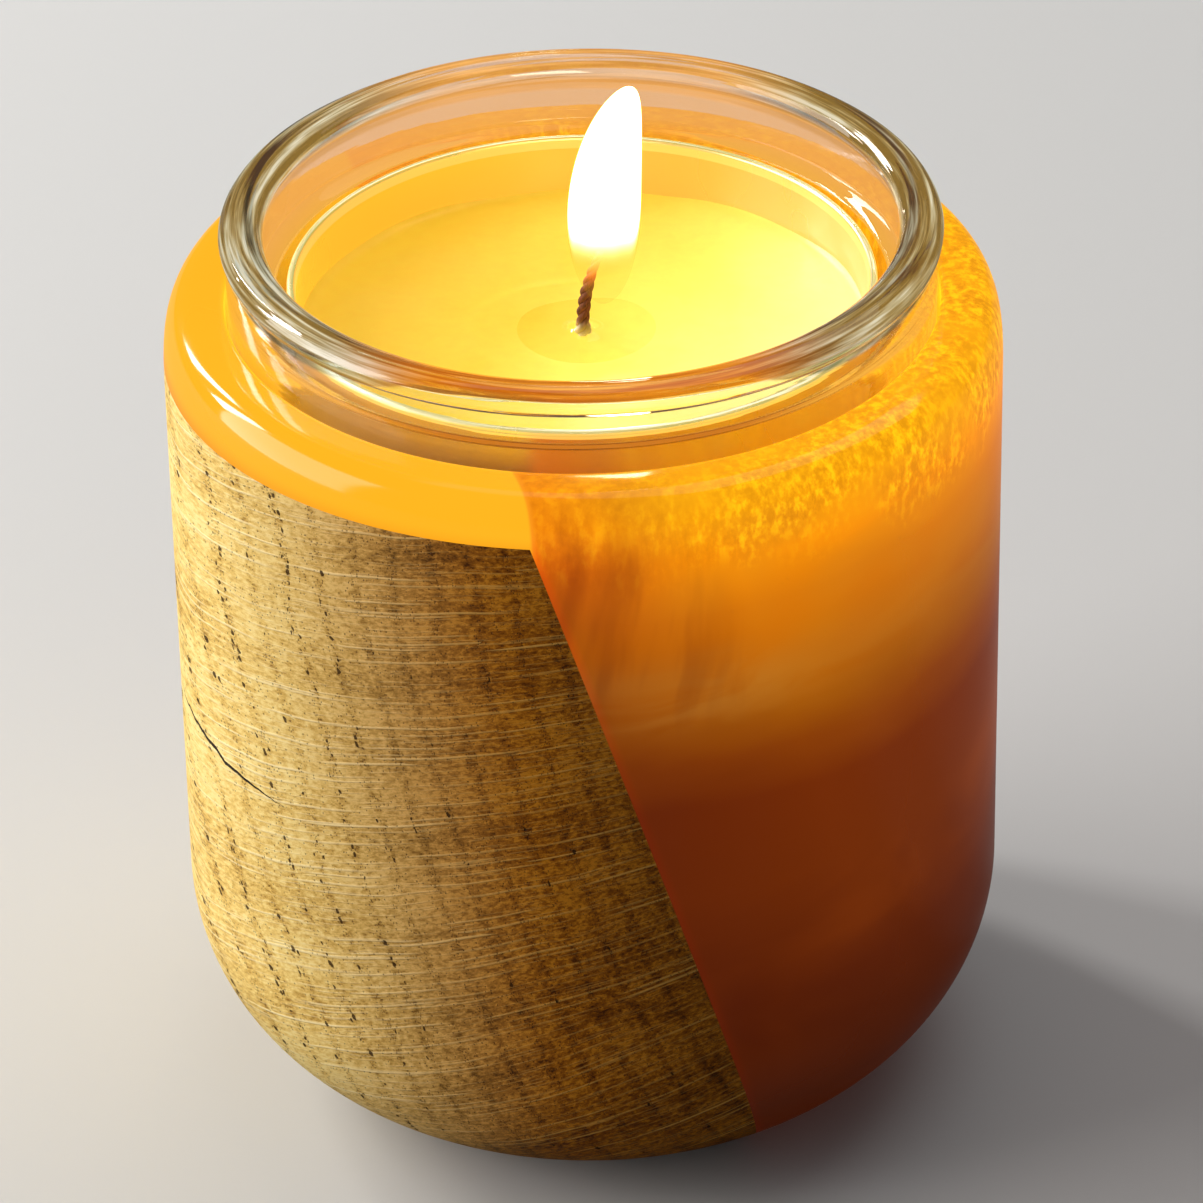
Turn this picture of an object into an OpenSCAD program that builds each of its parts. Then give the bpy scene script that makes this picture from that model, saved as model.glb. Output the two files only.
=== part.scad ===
// Turned candle holder: an oak block and a cast resin block joined along a slanted face,
// a clear glass insert that lifts out of the bore, and a large tealight that lifts out of the glass.
// Millimetres, +Z up. The origin is the centre of the foot, on the surface that it rests on.
// The slanted joint crosses the front, which faces -Y, with the oak on its -X side.

/* [Holder] */
// Outer diameter of the turned body
body_d = 80; // [78:1:96]
// Height from the foot to the lip of the bore
body_h = 85; // [80:1:110]
// How far in the rounded foot reaches from the outer wall
foot_round_w = 24; // [6:1:30]
// How far up the outer wall the rounded foot reaches
foot_round_h = 22; // [6:1:30]
// How far down from the lip the rounded shoulder reaches
shoulder_h = 10; // [4:1:14]
// Squareness of the shoulder: 2 is an ellipse, more is squarer
shoulder_power = 4; // [2:0.5:5]
// Radius of the rounded edge of the bore
lip_round = 0.6; // [0.3:0.1:1]
// Diameter of the bore that takes the glass insert
bore_d = 68; // [67:0.5:70]
// Depth of the bore below the lip
bore_depth = 27; // [25:1:30]

/* [Oak block] */
// Depth of the oak's top face below the lip, on the axis of the body
oak_drop = 6; // [4:0.5:12]
// Fall of the oak's top face towards the back, in degrees
oak_top_fall = 1.7; // [0:0.1:3]
// Lean of the slanted joint from upright, in degrees
joint_lean = 17; // [8:1:25]
// Turn of the slanted joint about the upright axis, in degrees
joint_turn = 16; // [0:1:30]
// Height at which the slanted joint crosses the axis of the body
joint_axis_z = 28.5; // [24:0.5:34]

/* [Glass insert] */
// Running gap between the glass and the bore
glass_gap = 0.3; // [0.2:0.1:0.6]
// Thickness of the glass wall beside the candle
glass_wall = 4.6; // [3:0.1:4.6]
// Thickness of the glass wall just under the rim
neck_wall = 3.1; // [2:0.1:3.6]
// Height of the thin neck under the rim
neck_h = 3.8; // [0.5:0.1:4]
// Height over which the inside flares out from the thick wall to the thin neck
flare_h = 1.4; // [1:0.1:5]
// Thickness of the glass floor
glass_floor = 3.2; // [2.5:0.1:4]
// Width of the rolled rim
rim_w = 4.2; // [3.8:0.1:4.6]
// Height of the rolled rim
rim_h = 3.1; // [2.4:0.1:4]
// Height of the rim's centre above the lip of the bore
rim_rise = 6.5; // [4:0.5:10]
// Radius of the glass's bottom edge, inside and outside
glass_corner = 3; // [1.5:0.5:4]

/* [Tealight] */
// Diameter of the cup's rolled edge
cup_d = 56; // [54:0.5:56.5]
// Height of the cup
cup_h = 25; // [22:0.5:26]
// Thickness of the cup's wall and floor
cup_wall = 0.4; // [0.3:0.1:0.6]
// How far the rolled edge stands out from the wall
cup_bead = 0.4; // [0.3:0.1:0.8]
// How much narrower the cup's radius is at its floor than under the rolled edge
cup_taper = 0.6; // [0:0.1:1]
// Depth of the wax below the cup's edge
wax_drop = 5.7; // [3:0.1:9]
// Thickness of the wick
wick_d = 1.3; // [1:0.1:1.8]
// Length of wick that stands out of the wax
wick_free = 8; // [4:0.5:10]
// Bend of the wick's free end, in degrees
wick_bend = 25; // [5:1:60]
// Diameter of the sustainer's disc
sustainer_d = 16; // [12:0.5:20]
// Height of the sustainer's crimped neck
sustainer_neck_h = 5; // [3:0.5:7]

/* [Hidden] */
$fn = 96;
arc_steps = 20;
body_r = body_d / 2;
bore_r = bore_d / 2;
bore_floor_z = body_h - bore_depth;
glass_r = bore_r - glass_gap;
neck_mid_r = glass_r - neck_wall / 2;
rim_z = body_h + rim_rise;
cup_z = bore_floor_z + glass_floor;
cup_edge_r = cup_d / 2;
cup_r = cup_edge_r - cup_bead;
cup_floor_r = cup_r - cup_taper;
bead_h = 0.8;
wax_z = cup_z + cup_h - wax_drop;
sheet_t = 0.3;
grip_r = wick_d / 2 + 0.35;
cast_gap = 0.02;
cutter = 4 * body_h;

// Points of an arc of an ellipse about a centre; power 2 is a true ellipse, more is squarer
function arc(centre, rx, rz, from, to, power = 2, steps = arc_steps) = [
    for (i = [0:steps])
        let (a = from + (to - from) * i / steps)
            centre + [rx * sign(cos(a)) * pow(abs(cos(a)), 2 / power),
                      rz * sign(sin(a)) * pow(abs(sin(a)), 2 / power)]
];

// Radius of the cup's outer wall at a height above its floor
function cup_wall_r(h) = cup_floor_r + cup_taper * h / cup_h;

// Half section of the turned body, bore included
module holder_section() {
    lip_r = bore_r + lip_round;
    polygon(concat(
        [[0, 0]],
        arc([body_r - foot_round_w, foot_round_h], foot_round_w, foot_round_h, -90, 0),
        arc([lip_r, body_h - shoulder_h], body_r - lip_r, shoulder_h, 0, 90, shoulder_power),
        arc([lip_r, body_h - lip_round], lip_round, lip_round, 90, 180, 2, 4),
        [[bore_r, bore_floor_z], [0, bore_floor_z]]
    ));
}

// The space that the oak takes: below its top face and on the oak side of the slanted joint
module oak_zone() {
    intersection() {
        translate([0, 0, joint_axis_z]) rotate([0, -joint_lean, joint_turn])
            translate([-cutter / 2, 0, 0]) cube(cutter, center = true);
        translate([0, 0, body_h - oak_drop]) rotate([-oak_top_fall, 0, 0])
            translate([0, 0, -cutter / 2]) cube(cutter, center = true);
    }
}

module oak_block() {
    color("burlywood") intersection() {
        rotate_extrude() holder_section();
        oak_zone();
    }
}

module resin_body() {
    color("darkorange") difference() {
        rotate_extrude() holder_section();
        oak_zone();
    }
}

// Points of a smooth S from one (radius, height) to another, upright at both ends
function s_curve(from, to, steps = 10) = [
    for (i = [0:steps])
        [from[0] + (to[0] - from[0]) * (1 - cos(180 * i / steps)) / 2,
         from[1] + (to[1] - from[1]) * i / steps]
];

// A thick glass whose inside flares out to a thin neck, with a rolled rim and rounded bottom edges
module glass_insert() {
    inner_r = glass_r - glass_wall;
    inner_z = bore_floor_z + glass_floor;
    rim_meet = acos(neck_wall / rim_w);
    neck_r = glass_r - neck_wall;
    neck_z = rim_z - rim_h / 2 * sin(rim_meet);
    color("lightcyan", 0.4) rotate_extrude() polygon(concat(
        [[0, bore_floor_z]],
        arc([glass_r - glass_corner, bore_floor_z + glass_corner], glass_corner, glass_corner, -90, 0, 2, 8),
        arc([neck_mid_r, rim_z], rim_w / 2, rim_h / 2, -rim_meet, 180 + rim_meet),
        s_curve([neck_r, neck_z - neck_h], [inner_r, neck_z - neck_h - flare_h]),
        arc([inner_r - glass_corner, inner_z + glass_corner], glass_corner, glass_corner, 0, -90, 2, 8),
        [[0, inner_z]]
    ));
}

// A thin tapered cup with a rolled edge
module tealight_cup() {
    color("gainsboro") translate([0, 0, cup_z]) rotate_extrude() polygon([
        [0, 0],
        [cup_floor_r - 1, 0],
        [cup_floor_r, 1],
        [cup_wall_r(cup_h - bead_h), cup_h - bead_h],
        [cup_edge_r, cup_h - bead_h],
        [cup_edge_r, cup_h],
        [cup_r - cup_wall, cup_h],
        [cup_floor_r - cup_wall, 1],
        [cup_floor_r - 1, cup_wall],
        [0, cup_wall]
    ]);
}

// A straight length in the wax, then a free end that bends over towards +X
module wick() {
    foot_z = cup_z + cup_wall + sheet_t + 2 * cast_gap;
    bend_r = wick_free / (wick_bend * PI / 180);
    color("saddlebrown") {
        translate([0, 0, foot_z]) cylinder(d = wick_d, h = wax_z - foot_z);
        translate([bend_r, 0, wax_z]) rotate([90, 0, 180])
            rotate_extrude(angle = wick_bend) translate([bend_r, 0]) circle(d = wick_d);
    }
}

// A sheet disc on the cup's floor, with a neck that grips the wick
module wick_sustainer() {
    floor_z = cup_z + cup_wall + cast_gap;
    color("silver") difference() {
        translate([0, 0, floor_z]) {
            cylinder(d = sustainer_d, h = sheet_t);
            cylinder(r = grip_r, h = sheet_t + sustainer_neck_h);
        }
        translate([0, 0, floor_z + sheet_t]) cylinder(r = wick_d / 2 + cast_gap, h = body_h);
    }
}

// Wax cast round the sustainer and the wick, filling the cup up to its level
module wax() {
    floor_z = cup_wall + cast_gap;
    level = cup_h - wax_drop;
    inset = cup_wall + cast_gap;
    color("moccasin") difference() {
        translate([0, 0, cup_z]) rotate_extrude() polygon([
            [0, floor_z],
            [cup_floor_r - 1 - cast_gap, floor_z],
            [cup_floor_r - inset, 1 + cast_gap],
            [cup_wall_r(level) - inset, level],
            [0, level]
        ]);
        translate([0, 0, cup_z]) cylinder(d = sustainer_d + 2 * cast_gap, h = floor_z + sheet_t + cast_gap);
        translate([0, 0, cup_z]) cylinder(r = grip_r + cast_gap, h = floor_z + sheet_t + sustainer_neck_h);
        cylinder(d = wick_d + 2 * cast_gap, h = body_h + rim_rise);
    }
}

oak_block();
resin_body();
glass_insert();
tealight_cup();
wax();
wick();
wick_sustainer();
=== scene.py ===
"""Looks of the turned oak and resin candle holder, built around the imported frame.

Metres, +Z up, the front faces -Y. Every place comes from the frame or from the named sizes below,
which are the same ones that the design gives to the section of each turned part.
"""

import math
import random

import bmesh
import bpy
from mathutils import Matrix, Vector, noise


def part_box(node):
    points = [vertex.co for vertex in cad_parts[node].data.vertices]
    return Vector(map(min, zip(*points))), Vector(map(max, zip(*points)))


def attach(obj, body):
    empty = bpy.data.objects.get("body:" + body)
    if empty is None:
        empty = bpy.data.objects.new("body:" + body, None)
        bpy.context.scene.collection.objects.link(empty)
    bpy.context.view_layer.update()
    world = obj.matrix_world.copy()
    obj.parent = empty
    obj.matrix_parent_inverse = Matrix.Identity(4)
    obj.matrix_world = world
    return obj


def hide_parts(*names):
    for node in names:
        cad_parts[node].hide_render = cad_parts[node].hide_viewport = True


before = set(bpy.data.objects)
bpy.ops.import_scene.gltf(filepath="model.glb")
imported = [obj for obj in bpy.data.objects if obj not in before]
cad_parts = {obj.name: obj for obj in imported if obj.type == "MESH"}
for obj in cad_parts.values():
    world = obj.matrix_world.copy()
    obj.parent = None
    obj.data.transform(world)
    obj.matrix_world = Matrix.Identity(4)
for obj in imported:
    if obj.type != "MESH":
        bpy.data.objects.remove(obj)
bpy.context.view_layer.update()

MM = 0.001

# Places that the frame gives
BODY_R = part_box("resin_body")[1].x
LIP_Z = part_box("resin_body")[1].z
GLASS_FLOOR_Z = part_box("glass_insert")[0].z
RIM_TOP_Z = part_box("glass_insert")[1].z
CUP_FLOOR_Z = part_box("tealight_cup")[0].z
CUP_EDGE_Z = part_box("tealight_cup")[1].z
CUP_EDGE_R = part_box("tealight_cup")[1].x
WAX_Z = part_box("wax")[1].z
WICK_FOOT_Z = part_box("wick")[0].z
WICK_TIP = Vector((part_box("wick")[1].x, 0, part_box("wick")[1].z))

# Sizes of the turned section
FOOT_ROUND_W = 24 * MM
FOOT_ROUND_H = 22 * MM
SHOULDER_H = 10 * MM
SHOULDER_POWER = 4
LIP_ROUND = 0.6 * MM
BORE_R = 34 * MM
BORE_FLOOR_Z = GLASS_FLOOR_Z

# The slanted joint and the oak's top face
JOINT_LEAN = math.radians(17)
JOINT_TURN = math.radians(16)
JOINT_AXIS_Z = 28.5 * MM
OAK_TOP_Z = LIP_Z - 6 * MM
OAK_TOP_FALL = math.radians(1.7)

# Sizes of the glass, the cup and the wick
GLASS_R = 33.7 * MM
GLASS_WALL = 4.6 * MM
NECK_WALL = 3.1 * MM
NECK_H = 3.8 * MM
FLARE_H = 1.4 * MM
GLASS_FLOOR = 3.2 * MM
GLASS_CORNER = 3 * MM
RIM_W = 4.2 * MM
RIM_H = 3.1 * MM
RIM_Z = RIM_TOP_Z - RIM_H / 2
CUP_WALL = 0.4 * MM
CUP_BEAD_W = 0.4 * MM
CUP_BEAD_H = 0.8 * MM
CUP_TAPER = 0.6 * MM
CUP_R = CUP_EDGE_R - CUP_BEAD_W
CUP_FLOOR_R = CUP_R - CUP_TAPER
CUP_H = CUP_EDGE_Z - CUP_FLOOR_Z
CAST_GAP = 0.02 * MM
WICK_R = 0.65 * MM
WICK_BEND = math.radians(25)
SUSTAINER_R = 8 * MM
SUSTAINER_T = 0.3 * MM
SUSTAINER_NECK_H = 5 * MM

# Room under a piece that rests on another, and the dish in its underside
REST_GAP = 0.01 * MM
DISH = 0.08 * MM

TURN = 2 * math.pi
CRISP_ANGLE = math.radians(35)


# ------ shapes

def arc(centre, rx, rz, start, end, steps, power=2.0):
    """Points of an arc of an ellipse, in degrees. A power above 2 makes it squarer."""
    points = []
    for i in range(steps + 1):
        a = math.radians(start + (end - start) * i / steps)
        c, s = math.cos(a), math.sin(a)
        points.append((
            centre[0] + rx * math.copysign(abs(c) ** (2 / power), c),
            centre[1] + rz * math.copysign(abs(s) ** (2 / power), s),
        ))
    return points


def respace(points, step):
    """The same outline with no gap longer than a step, so that a long side takes fine detail."""
    out = [points[0]]
    for (r0, z0), (r1, z1) in zip(points, points[1:]):
        parts = max(1, math.ceil(math.hypot(r1 - r0, z1 - z0) / step))
        for i in range(1, parts + 1):
            t = i / parts
            out.append((r0 + (r1 - r0) * t, z0 + (z1 - z0) * t))
    return out


def add_object(name, data):
    """Puts a mesh, light or camera in the scene as an object at the origin."""
    obj = bpy.data.objects.new(name, data)
    bpy.context.scene.collection.objects.link(obj)
    return obj


def finish_mesh(bm, name):
    """Turns a bmesh into an object, with faces outward, smooth shading and crisp corners."""
    bmesh.ops.remove_doubles(bm, verts=bm.verts, dist=1e-7)
    bmesh.ops.recalc_face_normals(bm, faces=bm.faces)
    mesh = bpy.data.meshes.new(name)
    bm.to_mesh(mesh)
    bm.free()
    soften(mesh)
    return add_object(name, mesh)


def soften(mesh):
    """Smooth shading, with edges past the crisp angle left as corners."""
    bm = bmesh.new()
    bm.from_mesh(mesh)
    for face in bm.faces:
        face.smooth = True
    for edge in bm.edges:
        if len(edge.link_faces) == 2:
            edge.smooth = edge.calc_face_angle(0) < CRISP_ANGLE
    bm.to_mesh(mesh)
    bm.free()


def skin(bm, lower, upper):
    """Joins two rings of corners with faces. A ring of one corner makes a fan."""
    sides = max(len(lower), len(upper))
    for j in range(sides):
        k = (j + 1) % sides
        corners = [ring[i % len(ring)] for ring, i in ((lower, j), (lower, k), (upper, k), (upper, j))]
        unique = list(dict.fromkeys(corners))
        if len(unique) > 2:
            bm.faces.new(unique)


def lathe(name, outline, segments, shift=None, closed=False):
    """Turns an outline of (radius, height) about the Z axis.

    shift(point, i, a) may move a point, given its place in the outline and its angle.
    """
    bm = bmesh.new()
    rings = []
    for i, (r, z) in enumerate(outline):
        if r == 0:
            rings.append([bm.verts.new((0, 0, z))])
            continue
        ring = []
        for j in range(segments):
            a = TURN * j / segments
            point = Vector((r * math.cos(a), r * math.sin(a), z))
            ring.append(bm.verts.new(shift(point, i, a) if shift else point))
        rings.append(ring)
    pairs = list(zip(rings, rings[1:]))
    if closed:
        pairs.append((rings[-1], rings[0]))
    for lower, upper in pairs:
        skin(bm, lower, upper)
    return finish_mesh(bm, name)


def tube(bm, centres, radii, sides):
    """Adds a tube with closed ends through the centres to a bmesh. Each ring lies across the path."""
    rings = []
    side = Vector((0, 1, 0))
    for i, centre in enumerate(centres):
        along = (centres[min(i + 1, len(centres) - 1)] - centres[max(i - 1, 0)]).normalized()
        side = (side - along * side.dot(along)).normalized()
        other = along.cross(side)
        ring = []
        for j in range(sides):
            a = TURN * j / sides
            ring.append(bm.verts.new(centre + (side * math.cos(a) + other * math.sin(a)) * radii[i]))
        rings.append(ring)
    for lower, upper in zip(rings, rings[1:]):
        skin(bm, lower, upper)
    bm.faces.new(rings[0][::-1])
    bm.faces.new(rings[-1])


def combine(obj, cutter, operation):
    """Applies a boolean with a cutter to an object's mesh. New faces take the cutter's material."""
    modifier = obj.modifiers.new("combine", "BOOLEAN")
    modifier.object = cutter
    modifier.operation = operation
    modifier.solver = "EXACT"
    modifier.material_mode = "TRANSFER"
    graph = bpy.context.evaluated_depsgraph_get()
    mesh = bpy.data.meshes.new_from_object(obj.evaluated_get(graph), depsgraph=graph)
    obj.modifiers.clear()
    obj.data = mesh
    soften(mesh)


def slab(name, place, size):
    """A box whose top face lies on the plane of a placing matrix, below it."""
    bm = bmesh.new()
    bmesh.ops.create_cube(bm, size=size, matrix=place @ Matrix.Translation((0, 0, -size / 2)))
    return finish_mesh(bm, name)


def assign(piece, body, node=None):
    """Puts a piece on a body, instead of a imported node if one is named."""
    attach(piece, body)
    if node:
        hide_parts(node)


def remove(*objects):
    """Deletes helper objects."""
    for obj in objects:
        bpy.data.objects.remove(obj)


def smoothstep(low, high, x):
    """0 below low, 1 above high, and an S curve between."""
    t = min(1.0, max(0.0, (x - low) / (high - low)))
    return t * t * (3 - 2 * t)


# ------ shader nodes

class Shader:
    """The node tree of a material or a world, built with one short call a node."""

    def __init__(self, name, kind="materials"):
        self.owner = getattr(bpy.data, kind).new(name)
        self.owner.use_nodes = True
        self.tree = self.owner.node_tree
        self.tree.nodes.clear()
        self.place = self.node("TexCoord").outputs["Object"]

    def node(self, kind, inputs=None, **settings):
        made = self.tree.nodes.new("ShaderNode" + kind)
        for key, value in settings.items():
            setattr(made, key, value)
        for key, value in (inputs or {}).items():
            self.feed(made.inputs[key], value)
        return made

    def feed(self, socket, value):
        if isinstance(value, bpy.types.NodeSocket):
            self.tree.links.new(value, socket)
        elif hasattr(socket.default_value, "__len__") and not hasattr(value, "__len__"):
            socket.default_value = [value] * len(socket.default_value)
        elif hasattr(value, "__len__") and len(value) == 3 and len(socket.default_value) == 4:
            socket.default_value = (*value, 1)
        else:
            socket.default_value = value

    def math(self, operation, a, b=0.0, clamp=False):
        return self.node("Math", {0: a, 1: b}, operation=operation, use_clamp=clamp).outputs[0]

    def add(self, a, b):
        return self.math("ADD", a, b)

    def sub(self, a, b):
        return self.math("SUBTRACT", a, b)

    def mul(self, a, b):
        return self.math("MULTIPLY", a, b)

    def invert(self, value):
        """One less the value."""
        return self.sub(1.0, value)

    def vector(self, operation, a, b=(0, 0, 0)):
        made = self.node("VectorMath", {0: a, 1: b}, operation=operation)
        return made.outputs["Value" if operation == "LENGTH" else "Vector"]

    def split(self, vector):
        return self.node("SeparateXYZ", {0: vector}).outputs

    def join(self, x, y, z):
        return self.node("CombineXYZ", {0: x, 1: y, 2: z}).outputs[0]

    def noise(self, vector, size, detail=2.0, roughness=0.5, distortion=0.0, output=0):
        """Noise of about 0 to 1 with largest features of a size, which may be one number or three."""
        sizes = size if hasattr(size, "__len__") else (size,) * 3
        made = self.node("TexNoise", {
            "Vector": self.vector("DIVIDE", vector, sizes), "Scale": 1.0,
            "Detail": detail, "Roughness": roughness, "Distortion": distortion,
        })
        return made.outputs[output]

    def cells(self, vector, size):
        """Cells of a size: distance to the nearest centre, its random colour and its place, in cells."""
        made = self.node("TexVoronoi", {"Vector": self.vector("DIVIDE", vector, size), "Scale": 1.0})
        return [made.outputs[key] for key in ("Distance", "Color", "Position")]

    def span(self, value, low, high, to_low=0.0, to_high=1.0, smooth=True):
        """Maps a stretch of values to another, held at its ends."""
        made = self.node("MapRange", {0: value, 1: low, 2: high, 3: to_low, 4: to_high},
                         interpolation_type="SMOOTHSTEP" if smooth else "LINEAR")
        return made.outputs[0]

    def ramp(self, value, stops):
        """A colour ramp of (position, colour) stops."""
        made = self.node("ValToRGB", {0: value})
        elements = made.color_ramp.elements
        while len(elements) < len(stops):
            elements.new(0.5)
        for element, (position, colour) in zip(elements, stops):
            element.position = position
            element.color = (*colour, 1)
        return made.outputs[0]

    def mix(self, factor, a, b):
        """One colour to another as the factor goes from 0 to 1."""
        made = self.node("Mix", data_type="RGBA")
        for index, value in ((0, factor), (6, a), (7, b)):
            self.feed(made.inputs[index], value)
        return made.outputs[2]

    def bump(self, height, distance, strength=1.0):
        return self.node("Bump", {"Height": height, "Distance": distance, "Strength": strength}).outputs[0]

    def principled(self, **inputs):
        named = {key.replace("_", " "): value for key, value in inputs.items()}
        return self.node("BsdfPrincipled", named).outputs[0]

    def blend(self, factor, a, b):
        """One surface to another as the factor goes from 0 to 1."""
        return self.node("MixShader", {0: factor, 1: a, 2: b}).outputs[0]

    def emit(self, colour, strength=1.0):
        return self.node("Emission", {"Color": colour, "Strength": strength}).outputs[0]

    def end(self, surface, output="OutputMaterial"):
        self.node(output, {"Surface": surface})
        return self.owner


# ------ materials

# The oak's growth: the centre of its rings, the tilt of its fibres, a year's width, the length that
# one radian round the centre counts as, and how far left of it the heartwood turns to sapwood,
# which is painted paler there also for the light that falls on the left side
PITH = Vector((200 * MM, 0, 98 * MM))
FIBRE_TILT = math.radians(-9)
RING_W = 3.4 * MM
RING_REACH = 0.225
SAPWOOD_AND_LIT_SIDE_REACH = (0.209, 0.239)
SAPWOOD_AND_LIT_SIDE_SLANT = 0.09


def thin_rays(s, grain, size, thickness):
    """Thin plates, one to a cell, that lie along the first and last axes of the grain."""
    _, luck, centre = s.cells(grain, size)
    off = s.split(s.vector("SUBTRACT", s.vector("DIVIDE", grain, size), centre))
    middle = s.vector("LENGTH", s.join(off[0], 0.0, off[2]))
    away = s.mul(s.math("ABSOLUTE", off[1]), size[1])
    thin = s.invert(s.span(away, thickness * 0.3, thickness))
    ends = s.invert(s.span(middle, 0.30, 0.55))
    bright = s.add(0.35, s.mul(s.split(luck)[0], 0.65))
    return s.mul(s.mul(thin, ends), bright)


def oak_grain(s):
    """Places along the wood's own axes (out from the pith, round it, along the fibre), and the sapwood,
    whose paler left side is partly painted light.
    """
    shifted = s.vector("SUBTRACT", s.place, tuple(PITH))
    turned = s.node("VectorRotate", {"Vector": shifted, "Axis": (1, 0, 0), "Angle": -FIBRE_TILT}).outputs[0]
    x, along, z = s.split(turned)
    reach = s.math("SQRT", s.add(s.mul(x, x), s.mul(z, z)))
    wobble = s.noise(turned, (22 * MM, 60 * MM, 22 * MM), 2)
    radius = s.add(reach, s.mul(wobble, 4 * MM))
    across = s.mul(s.math("ARCTAN2", z, s.mul(x, -1.0)), RING_REACH)
    across = s.add(across, s.mul(s.noise(turned, 24 * MM, 2), 2.4 * MM))
    flank = s.mul(s.add(x, s.mul(z, SAPWOOD_AND_LIT_SIDE_SLANT)), -1.0)
    return s.join(radius, across, along), s.span(flank, *SAPWOOD_AND_LIT_SIDE_REACH)


def oak_pores(s, grain, year, early, sapwood_and_lit_side):
    """Open pores, long along the fibre: large ones in the early wood and fine ones everywhere."""
    ring_luck = s.node("TexWhiteNoise", {"W": s.math("FLOOR", year)}, noise_dimensions="1D").outputs[0]
    patch = s.span(s.noise(grain, (40 * MM, 5 * MM, 30 * MM), 1), 0.35, 0.60, 0.35, 1.0)
    open_share = s.mul(s.mul(early, patch), s.span(ring_luck, 0.1, 0.8, 0.30, 0.80))
    open_share = s.mul(open_share, s.span(sapwood_and_lit_side, 0.30, 0.75, 0.10, 1.15))
    bent = s.mul(s.sub(s.noise(s.place, 0.5 * MM, 2), 0.5), 0.35 * MM)
    wavy = s.vector("ADD", grain, s.join(bent, bent, 0.0))
    spot, spot_colour, _ = s.cells(wavy, (0.46 * MM, 0.78 * MM, 7 * MM))
    luck = s.split(spot_colour)
    is_open = s.math("LESS_THAN", luck[0], open_share)
    widest = s.add(0.22, s.mul(luck[1], 0.26))
    pore = s.mul(s.invert(s.span(spot, s.sub(widest, 0.10), widest)), is_open)

    fine, fine_colour, _ = s.cells(grain, (0.22 * MM, 0.30 * MM, 3 * MM))
    fine_share = s.add(0.16, s.mul(early, 0.5))
    fine_here = s.math("LESS_THAN", s.split(fine_colour)[1], fine_share)
    fine_pore = s.mul(s.invert(s.span(fine, 0.15, 0.45)), fine_here)
    return pore, fine_pore


def oak_rays(s, grain):
    """Rays, which run from the pith outward: broad, middling and as fine as hairs."""
    broad = thin_rays(s, grain, (19 * MM, 2.5 * MM, 30 * MM), 0.17 * MM)
    aside = s.vector("ADD", grain, (7 * MM, 1.1 * MM, 5 * MM))
    middling = thin_rays(s, aside, (11 * MM, 1.7 * MM, 22 * MM), 0.13 * MM)
    hairs = thin_rays(s, grain, (4 * MM, 0.50 * MM, 9 * MM), 0.08 * MM)
    rays = s.math("MAXIMUM", broad, s.mul(middling, 0.8))
    return s.math("MAXIMUM", rays, s.mul(hairs, 0.42))


def oak_material():
    """Oak as a solid: rings round a pith off to the right, fibres running front to back, rays across."""
    s = Shader("oak")
    grain, sapwood_and_lit_side = oak_grain(s)
    year = s.math("DIVIDE", s.split(grain)[0], RING_W)
    phase = s.math("FRACT", year)
    early = s.mul(s.span(phase, 0.0, 0.10), s.invert(s.span(phase, 0.18, 0.42)))
    pore, fine_pore = oak_pores(s, grain, year, early, sapwood_and_lit_side)
    rays = oak_rays(s, grain)

    # Tone: broad bands, streaks along the fibre and mottle, darker in the early wood
    broad = s.noise(grain, (16 * MM, 6 * MM, 60 * MM), 3)
    streak = s.noise(grain, (0.45 * MM, 0.35 * MM, 14 * MM), 3, 0.6)
    mottle = s.noise(grain, (0.72 * MM, 0.44 * MM, 3 * MM), 4, 0.75)
    tone = s.add(s.mul(broad, 0.50), s.mul(streak, 0.25))
    tone = s.add(tone, s.mul(mottle, 1.15))
    tone = s.sub(tone, s.add(0.09, s.mul(early, 0.07)))

    # Colour: brown heartwood and pale sapwood, its paleness on the left partly painted light, then pale
    # rays, then dark pores
    heart = s.ramp(tone, [
        (0.60, (0.085, 0.018, 0.0004)), (0.73, (0.265, 0.073, 0.001)),
        (0.87, (0.460, 0.145, 0.004)), (1.00, (0.740, 0.280, 0.014)),
    ])
    sap_and_lit_side = s.ramp(tone, [
        (0.56, (0.340, 0.172, 0.026)), (0.71, (0.670, 0.415, 0.098)),
        (0.86, (0.870, 0.605, 0.180)), (1.00, (0.960, 0.750, 0.300)),
    ])
    pale = s.mix(sapwood_and_lit_side, (0.95, 0.510, 0.110), (0.98, 0.830, 0.460))
    colour = s.mix(s.mul(rays, 0.90), s.mix(sapwood_and_lit_side, heart, sap_and_lit_side), pale)
    colour = s.mix(s.mul(fine_pore, 0.65), colour, (0.070, 0.022, 0.002))
    colour = s.mix(s.mul(pore, 0.90), colour, (0.044, 0.016, 0.002))

    rough = s.add(0.38, s.mul(mottle, 0.20))
    rough = s.add(rough, s.mul(pore, 0.3))
    height = s.sub(s.mul(streak, 0.10), pore)
    height = s.sub(height, s.mul(fine_pore, 0.25))
    height = s.add(height, s.mul(rays, 0.30))
    normal = s.bump(height, 0.16 * MM, 0.9)
    return s.end(s.principled(Base_Color=colour, Roughness=rough, Normal=normal, Specular_IOR_Level=0.15))


def crack_shade_material():
    """Painted shade inside the drying crack: near-black wood with a faint mottle."""
    s = Shader("oak_crack_painted_shade")
    crack_mottle = s.noise(s.place, 0.4 * MM, 3)
    colour = s.ramp(crack_mottle, [(0.3, (0.012, 0.006, 0.003)), (0.7, (0.06, 0.03, 0.012))])
    return s.end(s.principled(Base_Color=colour, Roughness=0.85, Normal=s.bump(crack_mottle, 0.1 * MM)))


def joint_normal():
    """The outward normal of the slanted joint, which points from the oak to the resin."""
    level = math.cos(JOINT_LEAN)
    return Vector((level * math.cos(JOINT_TURN), level * math.sin(JOINT_TURN), math.sin(JOINT_LEAN)))


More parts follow.
